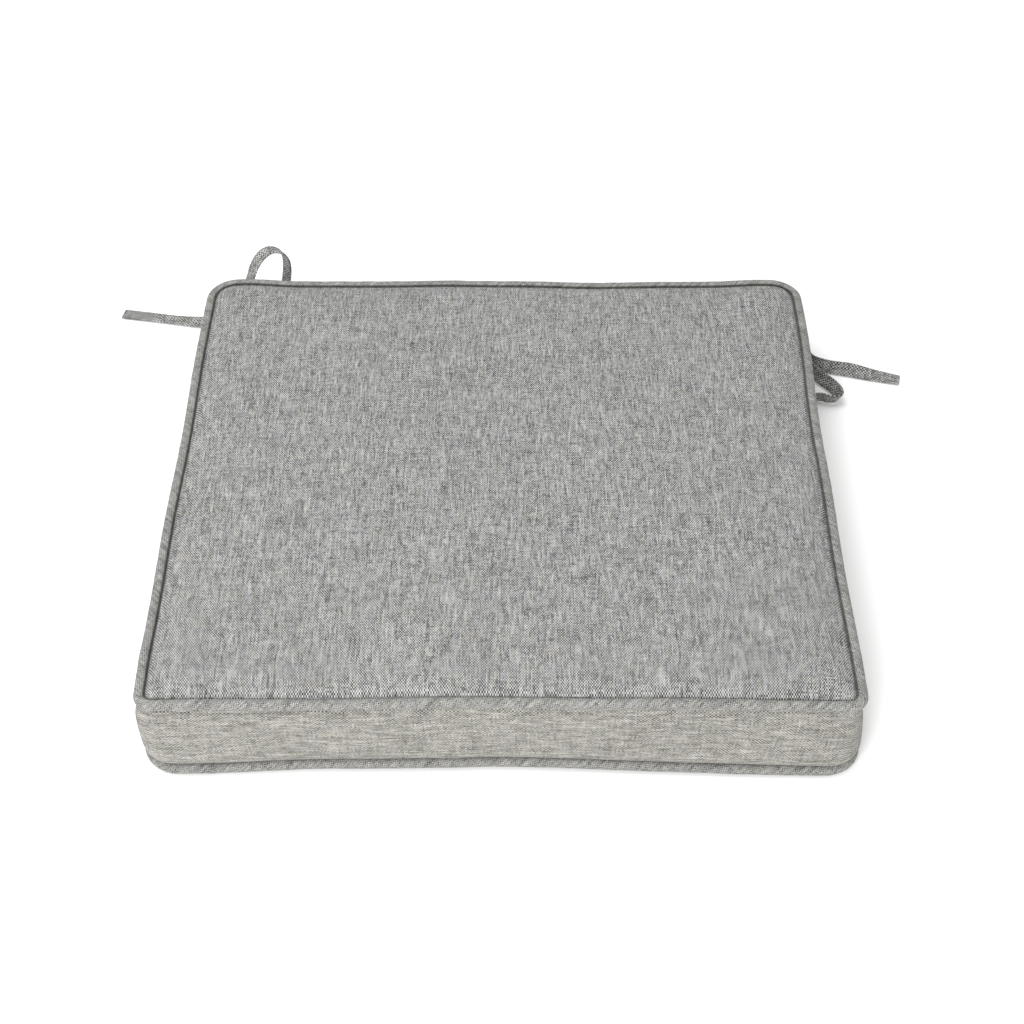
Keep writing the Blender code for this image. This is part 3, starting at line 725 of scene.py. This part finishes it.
def panelHeight(inset, a, b, top):
    inset = max(inset, 0.0)
    rise = panelSizes["edgeRise"]
    if not top:
        # flat where the pad rests on it
        return panelSizes["seamDrop"] * (1 - min(inset / panelSizes["lowEdgeRoll"], 1.0)) ** 2.2
    roll = (1 - (1 - min(inset / panelSizes["edgeRoll"], 1.0)) ** 2.5) ** panelSizes["edgeSteepness"]
    crown = panelSizes["crown"] * (1 - a ** 4) * (1 - b ** 4)
    return pipedHeight - panelSizes["seamDrop"] + rise * roll + crown


def rolledCloth(inset, top):
    # how much longer the cloth is than the plan, from this inset to where its edge has rolled flat
    span = panelSizes["edgeRoll"] - inset
    if span <= 0:
        return 0.0
    heights = [panelHeight(inset + span * step / 24, 0, 0, top) for step in range(25)]
    return sum(math.hypot(span / 24, after - before) for before, after in zip(heights, heights[1:])) - span


def gridLines(half):
    # fine beside the seam and even across the middle
    edge = [half - step for step in panelSizes["edgeCells"]]
    count = 2 * round(edge[-1] / panelSizes["cell"])
    middle = [edge[-1] - 2 * edge[-1] * step / count for step in range(1, count)]
    return sorted(edge + middle + [-place for place in edge])


def makePanel(name, top, material):
    seam = panelSizes["seamInset"]
    wide = halfWidth - seam
    deep = halfDepth - seam
    level = pipedHeight if top else 0.0
    front, back = cornerRadii(level)
    linesX = gridLines(wide)
    linesY = gridLines(deep)
    columns = len(linesX) - 1
    rows = len(linesY) - 1
    bm = bmesh.new()
    extraX = [math.copysign(rolledCloth(wide - abs(x), top), x) for x in linesX]
    extraY = [math.copysign(rolledCloth(deep - abs(y), top), y) for y in linesY]
    grid = []
    places = []
    paintedSeamShades = []
    for row in range(rows + 1):
        line = []
        spots = []
        for column in range(columns + 1):
            a = linesX[column] / wide
            b = linesY[row] / deep
            radius = (front if b < 0 else back) - seam
            x, y, inset = panelPoint(a, b, wide, deep, radius)
            # painted seam shade, strongest at the edge and fading inwards
            paintedSeamShades.append(math.exp(-max(inset, 0.0) / panelSizes["paintedShadeWidth"]))
            line.append(bm.verts.new(sway(Vector((x, y, panelHeight(inset, a, b, top))))))
            spots.append((linesX[column] + extraX[column], linesY[row] + extraY[row]))
        grid.append(line)
        places.append(spots)
    clothFaces(bm, grid, places)
    if not top:
        bmesh.ops.reverse_faces(bm, faces=bm.faces)
    panel = meshFrom(name, bm, material)
    addPaintedSeamShade(panel, paintedSeamShades)
    holdEdge(panel, rows + 1, columns + 1)
    return panel


def holdEdge(sheet, rows, columns):
    # the outer line of points, which the seam holds
    border = [row * columns + column for row in range(rows) for column in range(columns)
              if row in (0, rows - 1) or column in (0, columns - 1)]
    sheet.vertex_groups.new(name="seam").add(border, 1.0, "REPLACE")


clothSettings = {
    "quality": 6,
    "mass": 0.3,
    "tension_stiffness": 18,
    "compression_stiffness": 10,
    "shear_stiffness": 5,
    "bending_stiffness": 0.6,
    "use_pressure": True,
    "vertex_group_mass": "seam",
    "shrink_min": -0.01,
}
clothFrames = 20


def inflate(obj, pressure, cap):
    # the filling presses the sewn cloth outwards; its edge is held by the seam
    rest = [v.co.copy() for v in obj.data.vertices]
    modifier = obj.modifiers.new("Cloth", "CLOTH")
    for key, value in clothSettings.items():
        setattr(modifier.settings, key, value)
    modifier.settings.uniform_pressure_force = pressure
    modifier.settings.effector_weights.gravity = 0
    modifier.collision_settings.use_collision = False
    modifier.point_cache.frame_start = 1
    modifier.point_cache.frame_end = clothFrames
    for frameNumber in range(1, clothFrames + 1):
        scene.frame_set(frameNumber)
    evaluated = obj.evaluated_get(bpy.context.evaluated_depsgraph_get())
    moved = [v.co.copy() for v in evaluated.data.vertices]
    obj.modifiers.remove(modifier)
    scene.frame_set(1)
    for vert, before, after in zip(obj.data.vertices, rest, moved):
        step = after - before
        step -= min(step.dot(vert.normal), 0.0) * vert.normal
        if step.length > cap:
            step *= cap / step.length
        vert.co = before + step
    largest = max((v.co - before).length for v, before in zip(obj.data.vertices, rest))
    print("  %s moved at most %.1f mm" % (obj.name, largest * 1000))


def finishSheet(obj, thickness):
    # a smooth sheet of real thickness
    finer = obj.modifiers.new("Subdivision", "SUBSURF")
    finer.levels = 1
    finer.render_levels = 1
    wall = obj.modifiers.new("Solidify", "SOLIDIFY")
    wall.thickness = thickness
    wall.offset = -1.0
    obj.data.shade_smooth()


# boxing: the upright strip between the two pipings

boxingSizes = {
    "thickness": 0.0008,
    "seamInset": 0.0066,
    "seamIn": 0.0066,
    "bulge": 0.0060,
    "fullness": 7.0,
    "lowFullness": 9.0,
    "rightTopFullness": 0.62,
    "rightLowFullness": 1.12,
    "rightEnd": (0.12, 0.24),
    "backDepth": 0.012,
    "zipFullness": 0.15,
    "zipBlend": 0.030,
    "lap": 0.0015,
    "rows": 20,
    "spacing": 0.006,
    "pressure": 1.5,
    "cap": 0.0010,
}


def makeBand(name, material):
    rows = boxingSizes["rows"]
    backLine = halfDepth - boxingSizes["backDepth"]
    bm = bmesh.new()
    grid = []
    travelled = []
    heights = []
    kept = []
    for row in range(rows + 1):
        share = row / rows
        height = boxingSizes["seamIn"] + (pipedHeight - 2 * boxingSizes["seamIn"]) * share
        power = boxingSizes["fullness" if share > 0.5 else "lowFullness"]
        profile = 1 - abs(2 * share - 1) ** power
        seam = outlineRing(boxingSizes["seamInset"], height, boxingSizes["spacing"], swayed=False)
        full = outlineRing(boxingSizes["seamInset"] - boxingSizes["bulge"], height,
                           boxingSizes["spacing"], swayed=False)
        lengths = runLengths(full)
        if not kept:
            kept = [i for i, point in enumerate(seam) if point.y < backLine or abs(point.x) > zipHalf + 0.002]
        line = []
        for index in [kept[0] - 1] + kept + [kept[-1] + 1]:
            level = seam[index].copy()
            out = full[index].copy()
            # the right end is fuller below and slacker above
            right = boxingSizes["rightLowFullness"] * (1 - share) + boxingSizes["rightTopFullness"] * share
            bulge = profile * (1 + (right - 1) * smoothStep(level.x, *boxingSizes["rightEnd"]))
            if index < kept[0] or index > kept[-1]:
                level.x = out.x = math.copysign(zipHalf - boxingSizes["lap"], level.x)
            if level.y > backLine:
                # flat where it meets the zip strips, fuller towards the corners
                flat = boxingSizes["zipFullness"]
                bulge *= flat + (1 - flat) * smoothStep(abs(level.x) - zipHalf, 0.0, boxingSizes["zipBlend"])
            line.append(bm.verts.new(sway(level.lerp(out, bulge))))
            if row == rows // 2:
                travelled.append(lengths[index])
        grid.append(line)
        heights.append(height)
    clothFaces(bm, grid, [[(height, along) for along in travelled] for height in heights])
    count = len(travelled)
    bmesh.ops.recalc_face_normals(bm, faces=bm.faces)
    middle = grid[rows // 2][count // 2]
    if middle.link_faces[0].normal.y > 0:
        bmesh.ops.reverse_faces(bm, faces=bm.faces)
    band = meshFrom(name, bm, material)
    holdEdge(band, rows + 1, count)
    return band


# zip boxing: two strips folded back beside the chain

stripSizes = {
    "slot": 0.0060,
    "foldRadius": 0.0008,
    "topstitch": 0.0095,
    "cell": 0.0035,
    "face": 0.0056,
    "dent": 0.00035,         # how far the topstitching pulls the cloth in
    "dentWidth": 0.0012,
    "puff": 0.0012,
    "tuck": 0.0010,
    "ripple": 0.00035,
}


def makeStrip(name, side, material):
    # side is 1 above the chain and -1 below it
    seamHeight = pipedHeight / 2 - boxingSizes["seamIn"]
    face = halfDepth - stripSizes["face"]
    half = zipHalf
    columns = 2 * round(half / stripSizes["cell"])
    steps = 10
    profile = []
    for step in range(steps + 1):
        share = step / steps
        level = stripSizes["slot"] + (seamHeight - stripSizes["slot"]) * share
        pulled = (level - stripSizes["topstitch"]) / stripSizes["dentWidth"]
        dent = stripSizes["dent"] * math.exp(-pulled ** 2)
        puff = stripSizes["puff"] * math.sin(math.pi * min(max((share - 0.15) / 0.85, 0.0), 1.0))
        tuck = stripSizes["tuck"] * max(share - 0.9, 0.0) / 0.1
        profile.append((level, puff - dent - tuck))
    fold = stripSizes["foldRadius"]
    turned = [(stripSizes["slot"] + 0.012, -2.2 * fold), (stripSizes["slot"] + 0.004, -2.2 * fold)]
    for step in range(1, 6):
        angle = math.pi * step / 6
        turned.append((stripSizes["slot"] - fold * math.sin(angle), -fold * (1 + math.cos(angle))))
    outline = turned + profile
    bm = bmesh.new()
    grid = []
    travelled = [0.0]
    for (z0, y0), (z1, y1) in zip(outline, outline[1:]):
        travelled.append(travelled[-1] + math.hypot(z1 - z0, y1 - y0))
    for column in range(columns + 1):
        x = -half + 2 * half * column / columns
        line = []
        for index, (level, out) in enumerate(outline):
            ripple = stripSizes["ripple"] * noise.noise(Vector((x * 45, level * 120 * side, 3.0)))
            ripple *= min(max(index - 6, 0), 4) / 4
            point = Vector((x, face + out + ripple, zipHeight + side * level))
            if index >= len(outline) - 3:
                lift = sway(Vector((x, halfDepth, point.z))) - Vector((x, halfDepth, point.z))
                point += lift * (index - len(outline) + 4) / 3
            line.append(bm.verts.new(point))
        grid.append(line)
    clothFaces(bm, grid, [[(along, -half + 2 * half * column / columns) for along in travelled]
                          for column in range(columns + 1)])
    bmesh.ops.recalc_face_normals(bm, faces=bm.faces)
    probe = grid[columns // 2][-4]
    if probe.link_faces[0].normal.y < 0:
        bmesh.ops.reverse_faces(bm, faces=bm.faces)
    return meshFrom(name, bm, material)


# zip: nylon coils on woven tapes

zipSizes = {
    "coilPitch": 0.00130,
    "wireRadius": 0.00026,
    "coilInner": -0.00055,    # the turns reach past the middle line, into the gaps of the other coil
    "coilOuter": 0.0029,
    "coilDepth": 0.0021,
    "tapeWidth": 0.0130,
    "tapeInner": 0.0011,
    "tapeThickness": 0.0005,
}


def coilTree():
    # one continuous flattened spiral laid along X
    tree, inside, outside = newTree("zip coil", (
        ("Turns", "NodeSocketFloat", 300.0), ("Length", "NodeSocketFloat", 0.4),
        ("Wire", "NodeSocketFloat", 0.00026), ("Depth", "NodeSocketFloat", 0.0016),
        ("Width", "NodeSocketFloat", 0.0026), ("Start", "NodeSocketVector", None),
        ("Nylon", "NodeSocketMaterial", None)))
    spiral = addNode(tree, "GeometryNodeCurveSpiral", Resolution=10, Rotations=inside.outputs["Turns"],
                     i2=0.5, i3=0.5, Height=inside.outputs["Length"])
    size = addNode(tree, "ShaderNodeCombineXYZ", X=inside.outputs["Width"], Y=inside.outputs["Depth"], Z=1.0)
    flat = addNode(tree, "GeometryNodeTransform", Geometry=spiral.outputs[0], Scale=size.outputs[0])
    laid = addNode(tree, "GeometryNodeTransform", Geometry=flat.outputs[0],
                   Rotation=(0.0, math.pi / 2, 0.0), Translation=inside.outputs["Start"])
    wire = addNode(tree, "GeometryNodeCurvePrimitiveCircle", Resolution=5, Radius=inside.outputs["Wire"])
    tube = addNode(tree, "GeometryNodeCurveToMesh", Curve=laid.outputs[0], Profile_Curve=wire.outputs[0],
                   Fill_Caps=True)
    finishTree(tree, tube.outputs[0], inside.outputs["Nylon"], outside)
    return tree


def makeCoil(node, side, tree, material):
    low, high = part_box(node)
    length = high.x - low.x
    middle = zipHeight + side * (zipSizes["coilInner"] + zipSizes["coilOuter"]) / 2
    shift = 0.0 if side > 0 else zipSizes["coilPitch"] / 2
    start = (low.x + shift, (low.y + high.y) / 2, middle)
    empty = bpy.data.meshes.new(node + "_seed")
    return applyTree(node + "_turns", empty, tree, {
        "Turns": (length - shift) / zipSizes["coilPitch"], "Length": length - shift,
        "Wire": zipSizes["wireRadius"], "Depth": zipSizes["coilDepth"] - 2 * zipSizes["wireRadius"],
        "Width": zipSizes["coilOuter"] - zipSizes["coilInner"] - 2 * zipSizes["wireRadius"],
        "Start": start, "Nylon": material})


def makeTape(node, side, material):
    # a flat woven strip with a beaded inner edge
    low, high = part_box(node)
    middle = (low.y + high.y) / 2
    half = zipSizes["tapeThickness"] / 2
    inner = zipSizes["tapeInner"]
    outer = inner + zipSizes["tapeWidth"]
    section = [(inner, half * 0.7), (inner + 0.0004, half), (inner + 0.0030, half * 0.8),
               (outer - 0.0016, half * 0.8), (outer - 0.0008, half), (outer, half * 0.7)]
    section += [(level, -out) for level, out in reversed(section)]
    columns = 90
    bm = bmesh.new()
    rings = []
    for column in range(columns + 1):
        x = low.x + (high.x - low.x) * column / columns
        ripple = 0.00012 * math.sin(x * 140.0) + 0.00008 * math.sin(x * 61.0 + 2.0)
        rings.append([bm.verts.new((x, middle + out + ripple * (level - inner) / (outer - inner),
                                    zipHeight + side * level)) for level, out in section])
    count = len(section)
    for column in range(columns):
        for index in range(count):
            following = (index + 1) % count
            bm.faces.new((rings[column][index], rings[column][following],
                          rings[column + 1][following], rings[column + 1][index]))
    bm.faces.new(rings[0])
    bm.faces.new(rings[-1])
    bmesh.ops.recalc_face_normals(bm, faces=bm.faces)
    return meshFrom(node + "_woven", bm, material)


def softenedCopy(node, material, width=0.00018):
    # the node's own shape with its edges broken, as tumbled castings have
    source = nodes[node].data
    bm = bmesh.new()
    bm.from_mesh(source)
    bmesh.ops.remove_doubles(bm, verts=bm.verts, dist=0.00001)
    bmesh.ops.dissolve_limit(bm, angle_limit=math.radians(1), verts=bm.verts, edges=bm.edges)
    bmesh.ops.recalc_face_normals(bm, faces=bm.faces)
    piece = meshFrom(node + "_casting", bm, material)
    bevel = piece.modifiers.new("Bevel", "BEVEL")
    bevel.width = width
    bevel.segments = 2
    bevel.limit_method = "ANGLE"
    bevel.angle_limit = math.radians(35)
    return piece


def stripStitchLines(side):
    y = halfDepth - stripSizes["face"] + 0.0004
    level = zipHeight + side * stripSizes["topstitch"]
    half = zipHalf - 0.004
    return [[Vector((-half + 2 * half * step / 200, y, level)) for step in range(201)]]


# filling: a foam slab between two sheets of batting

fillingSizes = {
    "batting": 0.008,
    "clearance": 0.0030,
    "battingInset": 0.0125,
    "coreInset": 0.0104,
    "coreChamfer": 0.0075,
    "spacing": 0.008,
}


def loftBlock(name, section, material):
    # rings of (inset, height) carried round the outline, closed over at both ends
    bm = bmesh.new()
    rings = [[bm.verts.new(point) for point in outlineRing(inset, height, fillingSizes["spacing"])]
             for inset, height in section]
    count = len(rings[0])
    for a, b in zip(rings, rings[1:]):
        for index in range(count):
            following = (index + 1) % count
            bm.faces.new((a[index], a[following], b[following], b[index]))
    for loop in (rings[0], rings[-1]):
        middle = bm.verts.new(sum((v.co for v in loop), Vector()) / count)
        for index in range(count):
            bm.faces.new((loop[index], loop[(index + 1) % count], middle))
    bmesh.ops.recalc_face_normals(bm, faces=bm.faces)
    return meshFrom(name, bm, material)


def makeFilling(foamMaterial, battingMaterial):
    inset = fillingSizes["battingInset"]
    clear = fillingSizes["clearance"]
    deep = fillingSizes["batting"]
    steps = (0.0, 0.004, 0.009, 0.015, 0.022, 0.032)
    for top, name in ((True, "top_batting"), (False, "bottom_batting")):
        way = -1 if top else 1
        outer = [(inset + step, panelHeight(inset + step - panelSizes["seamInset"], 1, 1, top) + way * clear)
                 for step in steps]
        inner = [(inset + max(step, 0.004), level + way * deep) for step, (_, level) in zip(steps, outer)]
        sheet = loftBlock(name + "_sheet", list(reversed(outer)) + inner, battingMaterial)
        setOn(sheet, "pad", name)
    coreInset = fillingSizes["coreInset"]
    chamfer = fillingSizes["coreChamfer"]
    low = clear + deep + 0.0004
    high = panelHeight(0.04, 1, 1, True) - clear - deep - 0.0004
    core = loftBlock("foam_core_slab", [
        (coreInset + 0.06, low), (coreInset + chamfer, low), (coreInset, low + chamfer),
        (coreInset, high - 1.6 * chamfer), (coreInset + chamfer, high - 0.5 * chamfer),
        (coreInset + 2.6 * chamfer, high), (coreInset + 0.06, high)], foamMaterial)
    setOn(core, "pad", "foam_core")


# floor and light

lightSizes = {
    "world": 0.78,
    "lamps": (
        ("softboxFront", (-0.7, -1.9, 1.2), 46.0, 1.2),
        ("softboxTop", (-0.5, 0.2, 2.6), 34.0, 1.8),
    ),
}


def makeStage():
    bm = bmesh.new()
    bmesh.ops.create_grid(bm, x_segments=1, y_segments=1, size=6.0)
    floor = meshFrom("studioFloor", bm, None, smooth=False)
    floor.location.z = -0.0004
    white = bpy.data.materials.new("matt white paper floor")
    white.use_nodes = True
    shader = white.node_tree.nodes["Principled BSDF"]
    shader.inputs["Base Color"].default_value = hexColour("fafafa")
    shader.inputs["Roughness"].default_value = 1.0
    shader.inputs["Specular IOR Level"].default_value = 0.0
    floor.data.materials.append(white)
    world = bpy.data.worlds.new("studio")
    scene.world = world
    world.use_nodes = True
    back = world.node_tree.nodes["Background"]
    back.inputs[0].default_value = (1.0, 1.0, 1.0, 1.0)
    back.inputs[1].default_value = lightSizes["world"]
    for name, place, power, size in lightSizes["lamps"]:
        data = bpy.data.lights.new(name, "AREA")
        data.energy = power
        data.shape = "DISK"
        data.size = size
        lamp = bpy.data.objects.new(name, data)
        lamp.location = place
        lamp.rotation_euler = (-Vector(place)).to_track_quat("-Z", "Y").to_euler()
        scene.collection.objects.link(lamp)


def main():
    makeCamera()
    scene.view_settings.view_transform = "Standard"
    print("camera ready")
    weave = weaveGroup()
    # grey yarns on the panels; the boxing's copy of the same cloth is warmer and painted lighter for the
    # front light on the upright sides; bias strips on the piping
    panelCloth = clothMaterial("heather weave, panels", weave, "0c0d0d", "7f807f", "c0c0be",
                               "f6f7fa", "faf9f4", dots=1.30, slubs=0.85, weftSlubs=0.50)
    boxingClothPaintedLighter = clothMaterial("heather weave, boxing, painted lighter", weave, "262523", "84837f", "bbbab5",
                                "faf9f8", "faf8f2", dots=0.60, slubs=0.72, weftSlubs=0.35)
    pipingCloth = clothMaterial("heather weave, piping on the bias", weave, "1c1c1b", "7e7e7c", "b4b3b0",
                                "f8f8fa", "faf9f3", dots=0.42, slubs=0.80, weftSlubs=0.35,
                                turn=math.radians(45))
    # the narrow ties' weave is drawn coarser, or it would be too fine to show
    tieCloth = clothMaterial("heather weave, ties", weave, "0c0c0c", "787877", "c6c6c4",
                             "f6f7f9", "faf9f4", dots=0.95, slubs=0.7, weftSlubs=0.6, coarser=(1.5, 1.15))
    # twisted yarn, a shade darker than the cloth and with a faint gloss
    thread = plainMaterial("grey polyester thread", "6f6f6c", 0.6, grain=0.15, grainScale=3000)
    # loose cotton, dull and cream
    cordMaterial = plainMaterial("cotton filler cord", "dcd7c8", 0.9, grain=0.1)
    stitching = stitchTree()
    for name in tieRoutes:
        tie, path, length = makeTie(name, tieCloth)
        setOn(tie, "pad", name)
        stitches = makeStitches(name + "_stitches", tieStitchLines(name), stitching, thread)
        setOn(stitches, "pad", None)
    print("ties laid")
    for name, height in (("top_piping_cover", pipedHeight - pipingSizes["radius"]),
                         ("bottom_piping_cover", pipingSizes["radius"])):
        piping = makePiping(name + "_cloth", height, pipingSizes["radius"], pipingSizes["unevenness"],
                            pipingSizes["sides"], pipingCloth)
        setOn(piping, "pad", name)
        filler = name.replace("cover", "cord")
        cord = makePiping(filler + "_filler", height, pipingSizes["cordRadius"], 0.0,
                          pipingSizes["cordSides"], cordMaterial)
        setOn(cord, "pad", filler)
    print("piping sewn")
    for name, top in (("top_panel", True), ("bottom_panel", False)):
        panel = makePanel(name + "_cloth", top, panelCloth)
        if top:
            inflate(panel, panelSizes["pressure"], panelSizes["cap"])
        finishSheet(panel, panelSizes["thickness"])
        setOn(panel, "pad", name)
    print("panels filled")
    band = makeBand("boxing_band_cloth", boxingClothPaintedLighter)
    inflate(band, boxingSizes["pressure"], boxingSizes["cap"])
    finishSheet(band, boxingSizes["thickness"])
    setOn(band, "pad", "boxing_band")
    for name, side in (("zip_boxing_upper", 1), ("zip_boxing_lower", -1)):
        strip = makeStrip(name + "_cloth", side, boxingClothPaintedLighter)
        finishSheet(strip, boxingSizes["thickness"])
        setOn(strip, "pad", name)
    print("boxing filled")
    # cut foam: matt, speckled by its open cells; the batting is a white fluff
    foamMaterial = plainMaterial("cream open-cell foam", "e8dcb0", 0.95, grain=0.12, grainScale=1500)
    battingMaterial = plainMaterial("polyester batting", "f0f0ee", 0.95, grain=0.06, grainScale=300)
    makeFilling(foamMaterial, battingMaterial)
    print("filling laid")
    # matt woven tape, smooth drawn nylon, and tumbled plate that mirrors softly
    tapeMaterial = plainMaterial("woven zip tape", "6b6b69", 0.85, grain=0.15, grainScale=2500)
    coilMaterial = plainMaterial("nylon coil", "70706e", 0.35, grain=0.05, grainScale=1500)
    metalMaterial = plainMaterial("nickel plated zinc", "b9b6b0", 0.28, metallic=1.0, grain=0.06,
                                  grainScale=600)
    coiling = coilTree()
    for name, side in (("upper", 1), ("lower", -1)):
        tape = makeTape("zip_tape_" + name, side, tapeMaterial)
        setOn(tape, "pad", "zip_tape_" + name)
        coil = makeCoil("zip_coil_" + name, side, coiling, coilMaterial)
        setOn(coil, "pad", "zip_coil_" + name)
        topstitch = makeStitches("zip_topstitch_" + name, stripStitchLines(side), stitching, thread)
        setOn(topstitch, "pad", None)
    for name, body in (("zip_slider", "slider"), ("zip_pull_tab", "pull_tab"), ("zip_top_stop_upper", "pad"),
                       ("zip_top_stop_lower", "pad"), ("zip_bottom_stop", "pad")):
        piece = softenedCopy(name, metalMaterial)
        setOn(piece, body, name)
    print("zip set in")
    makeStage()


main()
